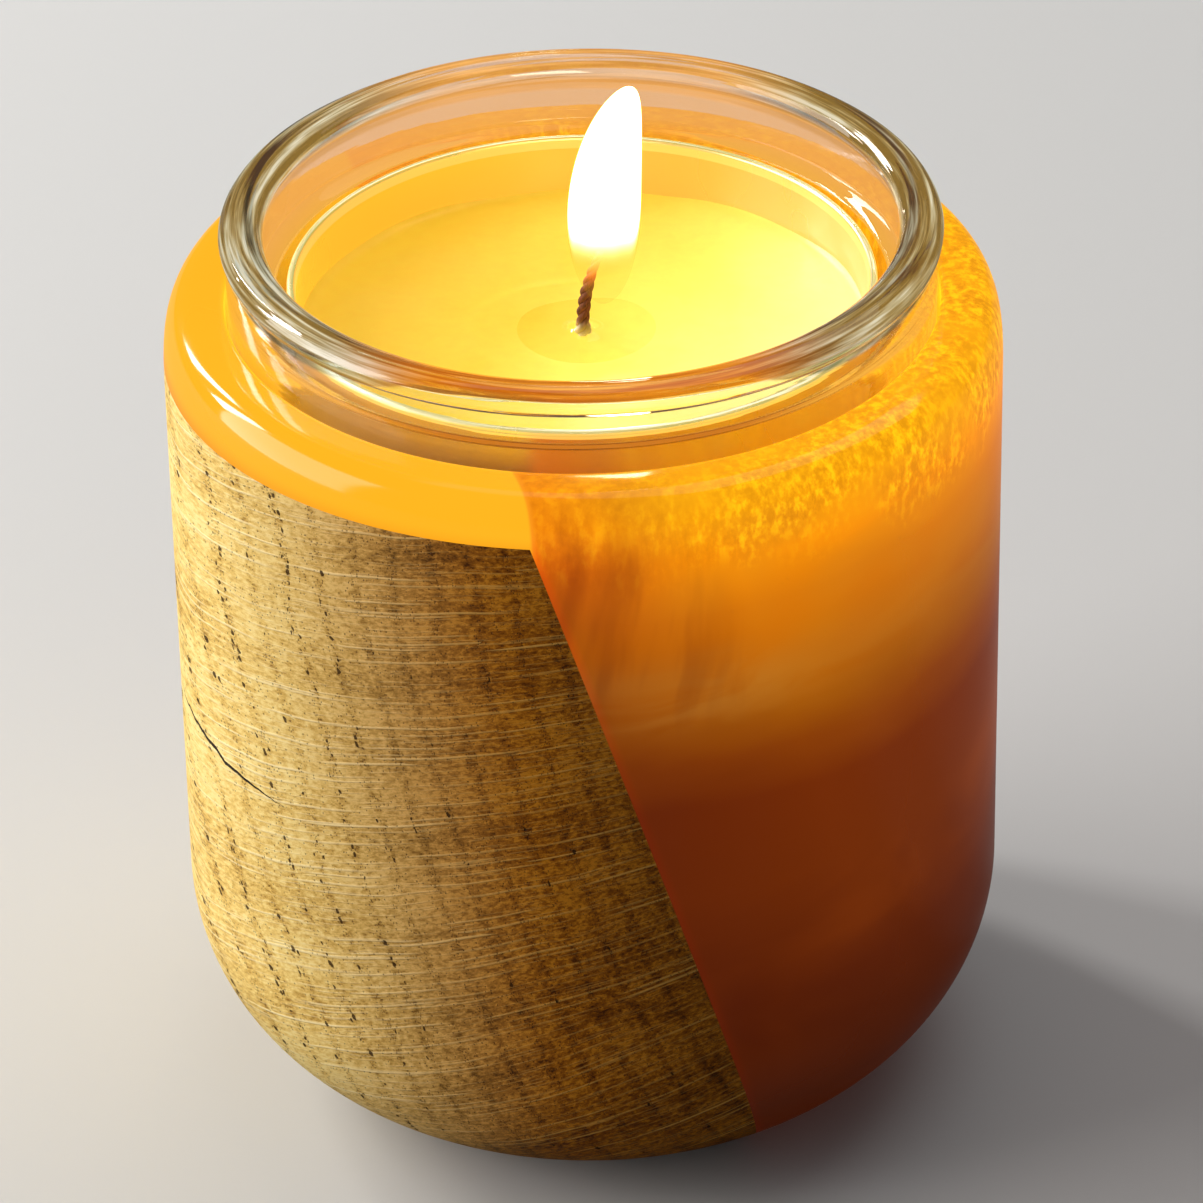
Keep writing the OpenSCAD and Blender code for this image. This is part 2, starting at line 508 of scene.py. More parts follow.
def currents(s, share):
    """The place of a point, moved by a share of the slow currents in the poured resin."""
    push = s.vector("SUBTRACT", s.noise(s.place, 30 * MM, 2, output="Color"), (0.5, 0.5, 0.5))
    push = s.vector("MULTIPLY", push, (18 * MM * share, 18 * MM * share, 12 * MM * share))
    return s.vector("ADD", s.place, push)


def resin_strength(s, x, z, thick, sagging, swirl):
    """How much of its painted glow the resin shows: less where it is thin over the leaning oak."""
    least = s.span(z, 20 * MM, 75 * MM, 0.85, 0.52, smooth=False)
    least = s.math("MAXIMUM", least, s.span(z, 77 * MM, 83 * MM, 0.52, 0.90))
    thin_wedge = s.span(thick, 0.0, 17 * MM, least, 1.0, smooth=False)

    # One broad lighter veil, low on the far side
    slope = s.add(s.mul(x, 0.5), s.mul(z, -0.86))
    off_veil = s.math("ABSOLUTE", s.add(slope, 14 * MM))
    veil = s.invert(s.span(off_veil, 0.0, 11 * MM))
    below = s.invert(s.span(sagging, BORE_FLOOR_Z - 8 * MM, BORE_FLOOR_Z))
    veil = s.mul(s.mul(veil, below), s.span(swirl, 0.35, 0.65))
    strength = s.mul(thin_wedge, s.add(1.0, s.mul(veil, 0.30)))

    # Upright darker stains beside the joint, above the bore's floor
    beside = s.invert(s.span(thick, 8 * MM, 18 * MM))
    beside = s.mul(beside, s.span(z, BORE_FLOOR_Z, BORE_FLOOR_Z + 8 * MM))
    beside = s.mul(beside, s.span(z, LIP_Z - 7 * MM, LIP_Z - 1 * MM, 1.0, 0.3))
    stains = s.noise(currents(s, 0.45), (3.4 * MM, 3.4 * MM, 24 * MM), 3, 0.5)
    darker = s.mul(beside, s.span(stains, 0.40, 0.66, -0.05, 0.20))
    return s.mul(strength, s.invert(darker))


def pearl_clouds(s, glow, z, thick, sagging, wisps):
    """Adds pale clouds in a band a little above the bore's floor, and broad patches over them."""
    off_band = s.math("ABSOLUTE", s.sub(sagging, BORE_FLOOR_Z + 6 * MM))
    band = s.invert(s.span(off_band, 0.0, 6 * MM))
    beside = s.invert(s.span(thick, 8 * MM, 26 * MM, 0.0, 0.75))
    cloud = s.mul(s.mul(s.span(wisps, 0.32, 0.64), band), beside)
    glow = s.mix(s.mul(cloud, 0.55), glow, (0.52, 0.215, 0.022))
    patches = s.span(s.noise(currents(s, 1.0), (13 * MM, 13 * MM, 9 * MM), 1), 0.40, 0.68)
    patches = s.mul(patches, s.span(z, BORE_FLOOR_Z + 4 * MM, BORE_FLOOR_Z + 12 * MM))
    return s.mix(s.mul(patches, 0.22), glow, (0.62, 0.225, 0.008))


def golden_grains(s, z, thick, flecks):
    """How golden a point is under the lip: upright runs of pigment by the joint, grains farther off."""
    ragged = s.noise(s.place, (7 * MM, 7 * MM, 5 * MM), 2, 0.5)
    high = s.span(s.add(z, s.mul(ragged, 10 * MM)), LIP_Z - 6 * MM, LIP_Z + 2 * MM)
    grains = s.sub(s.span(flecks, 0.34, 0.66), 0.5)
    runs = s.noise(currents(s, 0.2), (1.5 * MM, 1.5 * MM, 9 * MM), 4, 0.6)
    lines = s.add(s.mul(s.sub(runs, 0.5), 1.6), s.mul(grains, 0.35))
    golden = s.mix(s.span(thick, 12 * MM, 24 * MM), lines, grains)
    return s.mul(s.mul(golden, high), s.span(ragged, 0.30, 0.60, 0.45, 1.15))


def resin_material():
    """Orange pearl resin, polished, whose candlelight above the bore's floor is painted as a glow in its
    emission.
    """
    s = Shader("pearl_resin")
    x, y, z = s.split(s.place)
    swirl = s.noise(currents(s, 1.0), (26 * MM, 26 * MM, 15 * MM), 3, 0.5, 0.4)
    wisps = s.noise(currents(s, 1.0), (19 * MM, 19 * MM, 5.5 * MM), 3, 0.5, 0.8)
    flecks = s.noise(s.place, (0.85 * MM, 0.85 * MM, 1.4 * MM), 4, 0.65)
    normal = joint_normal()
    over = s.add(s.mul(x, normal.x), s.mul(y, normal.y))
    thick = s.add(over, s.mul(s.sub(z, JOINT_AXIS_Z), normal.z))

    # Painted glow of the candlelight: full at the lip, falling down the bore, and faint below its floor
    sagging = s.add(z, s.mul(s.sub(swirl, 0.5), 5 * MM))
    glow = s.ramp(s.math("DIVIDE", sagging, LIP_Z), [
        (0.16, (0.040, 0.005, 0.0001)), (0.32, (0.085, 0.010, 0.0001)), (0.48, (0.150, 0.021, 0.0002)),
        (0.60, (0.160, 0.021, 0.0002)), (0.655, (0.240, 0.044, 0.0004)), (0.71, (0.350, 0.088, 0.0008)),
        (0.85, (0.690, 0.180, 0.0008)), (0.92, (0.970, 0.295, 0.0010)), (0.99, (0.985, 0.420, 0.0040)),
    ])
    glow = pearl_clouds(s, glow, z, thick, sagging, wisps)
    strength = resin_strength(s, x, z, thick, sagging, swirl)

    # Golden grains under the lip, on the resin's side of the joint
    edge = normal.z * (JOINT_AXIS_Z - OAK_TOP_Z)
    beyond = s.span(s.sub(over, edge), -0.4 * MM, 0.4 * MM)
    golden = s.mul(golden_grains(s, z, thick, flecks), beyond)
    glow = s.mix(s.math("MULTIPLY", golden, 1.1, clamp=True), glow, (1.00, 0.540, 0.006))
    strength = s.mul(strength, s.add(1.0, s.mul(golden, 0.32)))

    # Painted light: an even glow over the oak's top, for the candlelight that the wood sends back up
    # through the thin resin
    over_oak = s.mul(s.invert(beyond), s.span(z, OAK_TOP_Z - 4 * MM, OAK_TOP_Z + 1 * MM))
    deeper = s.span(z, OAK_TOP_Z - 0.5 * MM, OAK_TOP_Z + 2.5 * MM)
    glow = s.mix(over_oak, glow, s.mix(deeper, (0.93, 0.290, 0.005), (0.98, 0.470, 0.014)))
    strength = s.add(s.mul(strength, s.invert(over_oak)), over_oak)

    # The painted glow is redder where it is dark or thin, with a brighter red line of it along the joint
    beside_seam = s.invert(s.span(thick, 0.1 * MM, 1.1 * MM))
    beside_seam = s.mul(beside_seam, s.invert(over_oak))
    strength = s.mul(strength, s.add(1.0, s.mul(beside_seam, 0.22)))
    green_share = s.span(thick, 0.0, 14 * MM, s.span(z, 68 * MM, 78 * MM, 1.0, 0.72), 1.0)
    green_share = s.mul(green_share, s.invert(s.mul(beside_seam, 0.30)))
    green_share = s.math("MAXIMUM", green_share, over_oak)
    green = s.mul(s.math("POWER", strength, 1.35), green_share)
    glow = s.vector("MULTIPLY", glow, s.join(strength, green, strength))

    base = s.ramp(swirl, [(0.3, (0.060, 0.010, 0.0006)), (0.7, (0.110, 0.022, 0.0012))])
    surface = s.mul(s.noise(s.place, 14 * MM, 2), 0.6)
    surface = s.add(surface, s.mul(flecks, 0.008))
    facing = s.node("LayerWeight", {"Blend": 0.5}).outputs["Facing"]
    shine = s.math("MINIMUM", s.span(facing, 0.20, 0.45, 0.30, 0.5), s.span(facing, 0.45, 0.95, 0.5, 0.20))
    return s.end(s.principled(
        Base_Color=base, Roughness=s.span(wisps, 0.3, 0.7, 0.07, 0.14), IOR=1.5, Specular_IOR_Level=shine,
        Emission_Color=glow, Emission_Strength=1.0, Normal=s.bump(surface, 0.12 * MM, 0.5),
    ))


def clear(s, solid, tint, trapped):
    """Lets light through a clear surface without a shadow, and ends paths long trapped in it in a painted
    emission colour.
    """
    path = s.node("LightPath").outputs
    many_mirrors = s.math("GREATER_THAN", path["Glossy Depth"], 2.5)
    many_turns = s.math("GREATER_THAN", path["Ray Depth"], 8.5)
    solid = s.blend(s.math("MAXIMUM", many_mirrors, many_turns), solid, s.emit(trapped))
    through = s.node("BsdfTransparent", {"Color": tint}).outputs[0]
    return s.end(s.blend(path["Is Shadow Ray"], solid, through))


def painted_rim_streaks(s, x, y, z, reach):
    """Painted reflections: dark and bright streaks, drawn as emission, for what the rolled rim bends along
    itself, and where on it they are in front.

    They are olive at the sides, orange in front and peach behind.
    """
    middle = s.invert(s.span(s.math("ABSOLUTE", x), 12 * MM, 24 * MM))
    in_front = s.mul(middle, s.invert(s.span(y, -12 * MM, 0.0)))
    roll = s.math("ARCTAN2", s.sub(z, RIM_Z), s.sub(reach, GLASS_R - NECK_WALL / 2))
    streak = s.noise(s.join(x, y, s.mul(roll, 20 * MM)), (16 * MM, 16 * MM, 7 * MM), 3, 0.6)
    right = s.span(x, 0.0, 24 * MM)
    streak = s.sub(streak, s.mul(right, s.span(y, -26 * MM, -12 * MM, 0.0, 0.035)))
    side = s.ramp(streak, [
        (0.42, (0.000, 0.012, 0.012)), (0.51, (0.120, 0.120, 0.070)),
        (0.59, (0.300, 0.320, 0.230)), (0.66, (0.520, 0.560, 0.480)),
    ])
    front = s.mix(s.span(streak, 0.35, 0.65), (0.42, 0.100, 0.004), (0.72, 0.260, 0.016))
    back = s.mix(s.span(streak, 0.35, 0.65), (0.42, 0.180, 0.050), (0.66, 0.330, 0.120))
    return s.mix(middle, side, s.mix(s.math("GREATER_THAN", y, 0.0), front, back)), in_front


def glass_material():
    """Clear glass with fine striations and hardly any wear; the flame's warm light on its inner wall and
    the views in its rim are painted as emission.
    """
    s = Shader("clear_glass")
    x, y, z = s.split(s.place)
    reach = s.vector("LENGTH", s.join(x, y, 0.0))
    first_hit = s.math("LESS_THAN", s.node("LightPath").outputs["Ray Depth"], 0.5)
    around = s.noise(s.place, (14 * MM, 14 * MM, 0.8 * MM), 2, 0.5)
    smear = s.noise(s.place, (6 * MM, 6 * MM, 9 * MM), 4, 0.6)
    tint = s.mix(s.span(smear, 0.3, 0.7), (0.960, 0.970, 0.940), (0.980, 0.985, 0.965))

    # The painted streaks, shown as emission over glass dimmed under them, start lower on the rim at the
    # sides than in front
    streaks, in_front = painted_rim_streaks(s, x, y, z, reach)
    lowest = s.span(in_front, 0.0, 0.9, RIM_Z - 2.0 * MM, RIM_Z + 0.75 * MM, smooth=False)
    rim = s.mul(s.span(s.sub(z, lowest), 0.0, 0.5 * MM), first_hit)
    dark = s.mix(in_front, (0.085, 0.105, 0.110), (0.060, 0.030, 0.010))
    solid = s.principled(
        Base_Color=s.mix(rim, tint, dark), Roughness=s.span(smear, 0.55, 0.8, 0.0, 0.04), IOR=1.5,
        Transmission_Weight=1.0, Normal=s.bump(around, 0.05 * MM, 0.30),
        Emission_Color=streaks, Emission_Strength=rim,
    )

    # Painted light: the inner wall over the lip is painted warm with emission where the flame lights it,
    # most of all on the far side
    above = s.span(z, LIP_Z, LIP_Z + 2 * MM)
    wall = s.invert(s.span(z, RIM_Z - 0.6 * MM, RIM_Z + 0.4 * MM))
    inner = s.math("LESS_THAN", reach, GLASS_R - NECK_WALL * 0.8)
    lit = s.mul(s.mul(above, inner), s.mul(wall, first_hit))
    lit = s.mul(lit, s.span(y, -10 * MM, 12 * MM, 0.35, 0.72))
    solid = s.blend(lit, solid, s.emit((0.86, 0.390, 0.100)))

    # Painted light for paths that stay in the glass: olive from the rim and the resin's orange lower down
    front = s.span(y, -26 * MM, -4 * MM)
    orange = s.mix(front, (0.66, 0.200, 0.014), (0.960, 0.460, 0.060))
    olive = s.mix(s.span(around, 0.38, 0.62), (0.340, 0.240, 0.090), (0.600, 0.460, 0.230))
    olive = s.mix(s.span(y, -34 * MM, -24 * MM), (0.66, 0.260, 0.028), olive)
    trapped = s.mix(s.span(z, LIP_Z - 1 * MM, LIP_Z + 1 * MM), orange, olive)
    return clear(s, solid, (0.96, 0.97, 0.94), trapped)


def aluminium_material():
    """Thin drawn aluminium, smooth with a few long dents, with the flame's warm reflection painted into its
    colour inside and a painted glow inside and on its rolled edge.
    """
    s = Shader("aluminium")
    x, y, z = s.split(s.place)
    lines = s.noise(s.place, (9 * MM, 9 * MM, 0.25 * MM), 2, 0.5)
    dents = s.noise(s.place, (7 * MM, 7 * MM, 16 * MM), 2, 0.5)
    height = s.add(s.mul(lines, 0.01), dents)
    reach = s.vector("LENGTH", s.join(x, y, 0.0))
    wall = s.add(CUP_FLOOR_R, s.mul(s.sub(z, CUP_FLOOR_Z), CUP_TAPER / CUP_H))
    inside = s.math("LESS_THAN", reach, s.sub(wall, CUP_WALL / 2))
    rolled = s.math("GREATER_THAN", z, CUP_EDGE_Z - 1.2 * MM)
    side = s.span(s.add(x, s.mul(dents, 8 * MM)), -CUP_R * 0.8, CUP_R * 1.3)
    tone = s.mix(lines, (0.86, 0.80, 0.76), (0.92, 0.88, 0.84))
    # Painted reflection: inside, the metal is coloured orange, differing from left to right, for the lit
    # wax that it mirrors
    tone = s.mix(inside, tone, s.mix(side, (0.90, 0.300, 0.020), (0.94, 0.470, 0.300)))
    # Painted glow inside and on the rolled edge, where the flame lights the cup
    warm = s.mix(side, (0.46, 0.470, 0.035), (0.46, 0.240, 0.050))
    warm = s.mix(rolled, warm, (0.62, 0.560, 0.120))
    return s.end(s.principled(
        Base_Color=tone, Metallic=1.0, Roughness=s.span(dents, 0.3, 0.7, 0.26, 0.34),
        Normal=s.bump(height, 0.20 * MM, 0.35), Emission_Color=warm,
        Emission_Strength=s.mul(s.math("MAXIMUM", inside, rolled), 0.75),
    ))


def wax_material():
    """Cream wax with its flame light painted as emission: warm and bright round the flame, deeper to the
    left and dimmer lower down.
    """
    s = Shader("wax")
    x, y, z = s.split(s.place)
    crystals = s.noise(s.place, 1.6 * MM, 4, 0.6)
    cloudy = s.noise(s.place, 9 * MM, 3, 0.5)
    slant = s.sub(x, s.mul(y, 0.55))
    side = s.add(slant, s.mul(s.sub(cloudy, 0.5), 6 * MM))
    warm = s.ramp(s.span(side, -CUP_R, CUP_R, smooth=False), [
        (0.05, (0.80, 0.450, 0.018)), (0.38, (0.84, 0.560, 0.034)),
        (0.60, (0.88, 0.810, 0.110)), (0.95, (0.92, 0.950, 0.360)),
    ])
    # Painted light: the glow is strongest near the flame and dimmer lower in the cup
    reach = s.vector("LENGTH", s.vector("SUBTRACT", s.place, (WICK_TIP.x, 0, WAX_Z)))
    near = s.span(reach, 4 * MM, 32 * MM, 1.0, 0.85)
    deep = s.span(z, CUP_FLOOR_Z, WAX_Z - 2 * MM, 0.25, 1.0)
    strength = s.mul(near, deep)
    strength = s.mul(strength, s.add(0.93, s.mul(crystals, 0.14)))
    return s.end(s.principled(
        Base_Color=s.mix(crystals, (0.27, 0.160, 0.025), (0.33, 0.210, 0.040)),
        Roughness=s.span(cloudy, 0.3, 0.7, 0.28, 0.45), IOR=1.43,
        Emission_Color=warm, Emission_Strength=strength,
        Normal=s.bump(s.add(cloudy, s.mul(crystals, 0.15)), 0.25 * MM, 0.6),
    ))


def liquid_material():
    """Clear melted wax."""
    s = Shader("melted_wax")
    ripple = s.noise(s.place, 5 * MM, 2)
    solid = s.principled(
        Base_Color=s.mix(ripple, (1.0, 0.95, 0.72), (1.0, 0.97, 0.82)), Roughness=0.02, IOR=1.43,
        Transmission_Weight=1.0, Normal=s.bump(ripple, 0.08 * MM, 0.4),
    )
    # Paths long trapped in the melt end in a painted pale yellow
    return clear(s, solid, (1.0, 0.96, 0.80), (0.95, 0.80, 0.20))


def wick_material():
    """Braided cotton: waxy cream in the wax, charred brown above it, with a glowing tip."""
    s = Shader("wick")
    z = s.split(s.place)[2]
    fibre = s.noise(s.place, (0.12 * MM, 0.12 * MM, 0.9 * MM), 3, 0.6)
    char = s.span(z, WAX_Z - 0.5 * MM, WAX_Z + 1.2 * MM)
    burnt = s.ramp(fibre, [(0.3, (0.070, 0.022, 0.010)), (0.7, (0.300, 0.095, 0.040))])
    colour = s.mix(char, s.mix(fibre, (0.55, 0.42, 0.24), (0.80, 0.70, 0.48)), burnt)
    ember = s.span(z, WICK_TIP.z - 4.5 * MM, WICK_TIP.z - 0.5 * MM)
    glow = s.ramp(ember, [(0.0, (0.02, 0.003, 0.0)), (0.5, (0.7, 0.13, 0.01)), (1.0, (1.0, 0.42, 0.05))])
    return s.end(s.principled(
        Base_Color=colour, Roughness=0.9, Emission_Color=glow, Emission_Strength=s.mul(ember, 1.6),
        Normal=s.bump(fibre, 0.08 * MM),
    ))


def steel_material():
    """Thin tinned sheet with faint drawing marks."""
    s = Shader("tinned_steel")
    marks = s.noise(s.place, (0.15 * MM, 4 * MM, 4 * MM), 3, 0.6)
    return s.end(s.principled(
        Base_Color=s.mix(marks, (0.55, 0.55, 0.54), (0.75, 0.75, 0.73)), Metallic=1.0,
        Roughness=s.span(marks, 0.3, 0.7, 0.25, 0.42), Normal=s.bump(marks, 0.02 * MM, 0.5),
    ))


FLAME_BASE_Z = WAX_Z + 2.6 * MM
FLAME_TOP_Z = RIM_TOP_Z + 12.3 * MM


def flame_material():
    """A bright white body with yellow edges, that thins to a clear yellow veil round the wick."""
    s = Shader("flame")
    z = s.split(s.place)[2]
    rise = s.span(z, FLAME_BASE_Z, FLAME_TOP_Z, smooth=False)
    facing = s.node("LayerWeight", {"Blend": 0.5}).outputs["Facing"]
    flicker = s.noise(s.place, (4 * MM, 4 * MM, 10 * MM), 2)
    core = s.invert(s.span(facing, 0.45, 0.90))
    veil = s.invert(s.span(facing, 0.75, 1.0))
    body = s.span(s.add(rise, s.mul(flicker, 0.06)), 0.20, 0.52)
    opacity = s.mul(veil, s.add(0.10, s.mul(body, 0.90)))
    colour = s.mix(s.mul(core, body), (1.0, 0.54, 0.04), (1.0, 0.92, 0.66))
    bright = s.add(1.1, s.mul(s.mul(body, body), s.mul(core, 14.0)))
    open_air = s.node("BsdfTransparent").outputs[0]
    return s.end(s.blend(opacity, open_air, s.emit(colour, bright)))


PALE = (0.66, 0.64, 0.62)


def floor_material():
    """Plain pale floor that fades into the pale backdrop, and gives the object little light back."""
    s = Shader("pale_floor")
    tone = s.noise(s.place, 0.25, 2)
    path = s.node("LightPath").outputs
    mirrored = s.mul(path["Is Glossy Ray"], s.invert(path["Is Transmission Ray"]))
    given = s.mul(path["Is Diffuse Ray"], 0.75)
    dimmed = s.math("MAXIMUM", s.mul(mirrored, 0.82), given)
    colour = s.mix(dimmed, s.mix(tone, (0.64, 0.64, 0.635), (0.68, 0.68, 0.675)), (0.0, 0.0, 0.0))
    far = s.span(s.vector("LENGTH", s.place), 0.35, 1.4)
    far = s.mul(far, path["Is Camera Ray"])
    return s.end(s.blend(far, s.principled(Base_Color=colour, Roughness=0.8), s.emit(PALE)))


# ------ the turned holder

def holder_outline():
    """Half section of the whole turned body, bore included."""
    lip_r = BORE_R + LIP_ROUND
    outline = [(0.0, 0.0)]
    outline += arc((BODY_R - FOOT_ROUND_W, FOOT_ROUND_H), FOOT_ROUND_W, FOOT_ROUND_H, -90, 0, steps=48)
    shoulder = (lip_r, LIP_Z - SHOULDER_H)
    outline += arc(shoulder, BODY_R - lip_r, SHOULDER_H, 0, 90, steps=40, power=SHOULDER_POWER)
    outline += arc((lip_r, LIP_Z - LIP_ROUND), LIP_ROUND, LIP_ROUND, 90, 180, steps=6)
    outline += [(BORE_R, BORE_FLOOR_Z), (0.0, BORE_FLOOR_Z)]
    return respace(outline, 2.5 * MM)


def oak_zone():
    """The space that the oak takes: below its top face and behind the slanted joint."""
    size = 0.4
    lean = Matrix.Rotation(JOINT_TURN, 4, "Z") @ Matrix.Rotation(math.pi / 2 - JOINT_LEAN, 4, "Y")
    zone = slab("oak_zone", Matrix.Translation((0, 0, JOINT_AXIS_Z)) @ lean, size)
    fall = Matrix.Rotation(-OAK_TOP_FALL, 4, "X")
    top = slab("oak_top", Matrix.Translation((0, 0, OAK_TOP_Z)) @ fall, size)
    combine(zone, top, "INTERSECT")
    remove(top)
    return zone


CRACK_Z = 44.9 * MM
CRACK_START = -84
CRACK_SWEEP = 39
CRACK_DEPTH = 2.2 * MM
CRACK_W = 0.40 * MM


def crack_cutter(material):
    """A thin wavy blade that opens a drying crack in the oak's left side. Its angles are in degrees."""
    bm = bmesh.new()
    steps = 44
    up = Vector((0, 0, 1))
    rows = []
    for i in range(steps + 1):
        t = i / steps
        turn = math.radians(CRACK_START + CRACK_SWEEP * t)
        waver = 0.5 * noise.noise((9 * t, 3.1, 0)) + 0.18 * noise.noise((31 * t, 8.7, 0))
        z = CRACK_Z + waver * MM - 0.5 * MM * t
        half = CRACK_W / 2 * max(0.02, math.sin(math.pi * min(1, t * 1.02)) ** 0.8)
        out = Vector((math.sin(turn), -math.cos(turn), 0))
        outer = out * (BODY_R + 0.4 * MM)
        inner = out * (BODY_R - CRACK_DEPTH * max(0.1, math.sin(math.pi * t)))
        corners = ((outer, half * 1.25), (outer, -half * 1.25), (inner, -half * 0.2), (inner, half * 0.2))
        rows.append([bm.verts.new(side + up * (z + rise)) for side, rise in corners])
    for lower, upper in zip(rows, rows[1:]):
        skin(bm, lower, upper)
    bm.faces.new(rows[0])
    bm.faces.new(rows[-1][::-1])
    cutter = finish_mesh(bm, "crack_cutter")
    cutter.data.materials.append(material)
    return cutter


def build_holder():
    """The oak block and the resin body, cut from one turned shape."""
    outline = holder_outline()
    zone = oak_zone()
    resin = lathe("cast_resin", outline, 320)
    resin.data.materials.append(resin_material())
    zone.data.materials.append(resin.data.materials[0])
    combine(resin, zone, "DIFFERENCE")

    oak = lathe("turned_oak", outline, 320)
    oak.data.materials.append(oak_material())
    zone.data.materials[0] = oak.data.materials[0]
    combine(oak, zone, "INTERSECT")
    cutter = crack_cutter(crack_shade_material())
    combine(oak, cutter, "DIFFERENCE")
    remove(zone, cutter)
    assign(oak, "holder", "oak_block")
    assign(resin, "holder", "resin_body")


# ------ glass and candle

def s_curve(start, end, steps=14):
    """Points of a smooth S from one (radius, height) to another, upright at both ends."""
    points = []
    for i in range(steps + 1):
        t = i / steps
        ease = (1 - math.cos(math.pi * t)) / 2
        points.append((start[0] + (end[0] - start[0]) * ease, start[1] + (end[1] - start[1]) * t))
    return points


def build_glass():
    """The clear insert, thick beside the candle, with fine striations along its rolled rim."""
    inner_r = GLASS_R - GLASS_WALL
    inner_z = GLASS_FLOOR_Z + GLASS_FLOOR
    neck_r = GLASS_R - NECK_WALL
    mid_r = GLASS_R - NECK_WALL / 2
    meet = math.acos(NECK_WALL / RIM_W)
    neck_z = RIM_Z - RIM_H / 2 * math.sin(meet)
    meet = math.degrees(meet)
    low_z = GLASS_FLOOR_Z + REST_GAP
    corner = GLASS_CORNER
    outline = [(0.0, low_z + DISH)]
    outline += arc((GLASS_R - corner, low_z + corner), corner, corner, -90, 0, steps=12)
    outline += arc((mid_r, RIM_Z), RIM_W / 2, RIM_H / 2, -meet, 180 + meet, steps=110)
    outline += s_curve((neck_r, neck_z - NECK_H), (inner_r, neck_z - NECK_H - FLARE_H))
    outline += arc((inner_r - corner, inner_z + corner), corner, corner, 0, -90, steps=12)
    outline = respace(outline + [(0.0, inner_z)], 1.5 * MM)

    def striate(point, i, a):
        """Shifts rim points in by a few hundredths of a millimetre, in lines that wander round it."""
        if point.z < LIP_Z:
            return point
        share = smoothstep(LIP_Z, RIM_Z - RIM_H / 2, point.z)
        r = math.hypot(point.x, point.y)
        around = math.atan2(point.z - RIM_Z, r - mid_r) + 0.5 * math.sin(a + 0.6)
        line = math.sin(11 * around + 1.3 * math.sin(2 * a)) + 0.6 * math.sin(23 * around + 3 * math.cos(a))
        out = Vector((point.x / r * (r - mid_r), point.y / r * (r - mid_r), point.z - RIM_Z))
        if out.length > 0:
            out.normalize()
        strong = 0.5 + 0.5 * noise.noise((2.5 * math.cos(a), 2.5 * math.sin(a), 4.1))
        return point - out * (0.9 + line * strong) * 0.022 * MM * share

    glass = lathe("glass_jar", outline, 320, striate)
    glass.data.materials.append(glass_material())
    assign(glass, "insert", "glass_insert")


def cup_wall_r(height):
    """Radius of the cup's outer wall at a height above its floor."""
    return CUP_FLOOR_R + CUP_TAPER * height / CUP_H


def build_cup():
    """The drawn aluminium cup, with a rolled edge and a rounded floor corner."""
    roll = CUP_BEAD_H / 2
    top = CUP_H - roll
    outline = [(0.0, REST_GAP + DISH)]
    outline += arc((CUP_FLOOR_R - 1 * MM, 1 * MM + REST_GAP), 1 * MM, 1 * MM, -90, 0, steps=8)
    outline += [(cup_wall_r(top - roll), top - roll)]
    outline += arc((CUP_EDGE_R - roll, top), roll, roll, -60, 180, steps=20)
    outline += [(cup_wall_r(top - roll) - CUP_WALL, top - roll)]
    inner = 1 * MM - CUP_WALL
    outline += arc((CUP_FLOOR_R - 1 * MM, 1 * MM), inner, inner, 0, -90, steps=6)
    outline += [(0.0, CUP_WALL)]
    outline = [(r, z + CUP_FLOOR_Z) for r, z in respace(outline, 2 * MM)]
    cup = lathe("drawn_cup", outline, 256)
    cup.data.materials.append(aluminium_material())
    assign(cup, "candle", "tealight_cup")


POOL_R = 9 * MM
POOL_DEPTH = 0.6 * MM


def wax_top(r, a):
    """Height of the set wax: a dished pool round the wick, gentle waves and an uneven creep up the cup."""
    x, y = r * math.cos(a), r * math.sin(a)
    edge_r = cup_wall_r(WAX_Z - CUP_FLOOR_Z) - CUP_WALL
    pool_r = POOL_R * (1 + 0.06 * math.sin(2 * a + 1) + 0.04 * math.sin(3 * a))
    dish = POOL_DEPTH * (1 - smoothstep(pool_r * 0.30, pool_r, math.hypot(x, y)))
    ridge = 0.12 * MM * math.exp(-((math.hypot(x, y) - pool_r * 1.08) / (0.9 * MM)) ** 2)
    waves = 0.22 * MM * noise.noise((x / (11 * MM), y / (11 * MM), 2.2)) * smoothstep(0, POOL_R, r)
    uneven = 0.5 + 0.9 * noise.noise((2.3 * math.cos(a), 2.3 * math.sin(a), 7.7))
    creep = max(0.05, uneven) * 0.9 * MM * math.exp(-(edge_r - r) / (0.55 * MM))
    return WAX_Z - 0.35 * MM - dish + ridge + waves + creep


def build_wax():
    """The wax, cast round the sustainer, with a worked top."""
    floor_z = CUP_FLOOR_Z + CUP_WALL + CAST_GAP
    level = WAX_Z - CUP_FLOOR_Z
    inset = CUP_WALL + CAST_GAP
    edge_r = cup_wall_r(level) - inset
    top_rings = 90
    corner_z = CUP_FLOOR_Z + 1 * MM + CAST_GAP
    outline = [(0.0, floor_z), (CUP_FLOOR_R - 1 * MM, floor_z), (CUP_FLOOR_R - inset, corner_z)]
    outline = respace(outline + [(edge_r, WAX_Z - 1.2 * MM)], 1.5 * MM)
    first_top = len(outline)
    for i in range(top_rings):
        t = i / top_rings
        outline.append((edge_r * (1 - t) ** 0.8, WAX_Z))
    outline.append((0.0, wax_top(0.0, 0.0)))

    def work_top(point, i, a):
        if i < first_top:
            return point
        return Vector((point.x, point.y, wax_top(math.hypot(point.x, point.y), a)))

    wax = lathe("poured_wax", outline, 256, work_top)
    wax.data.materials.append(wax_material())
    assign(wax, "candle", "wax")


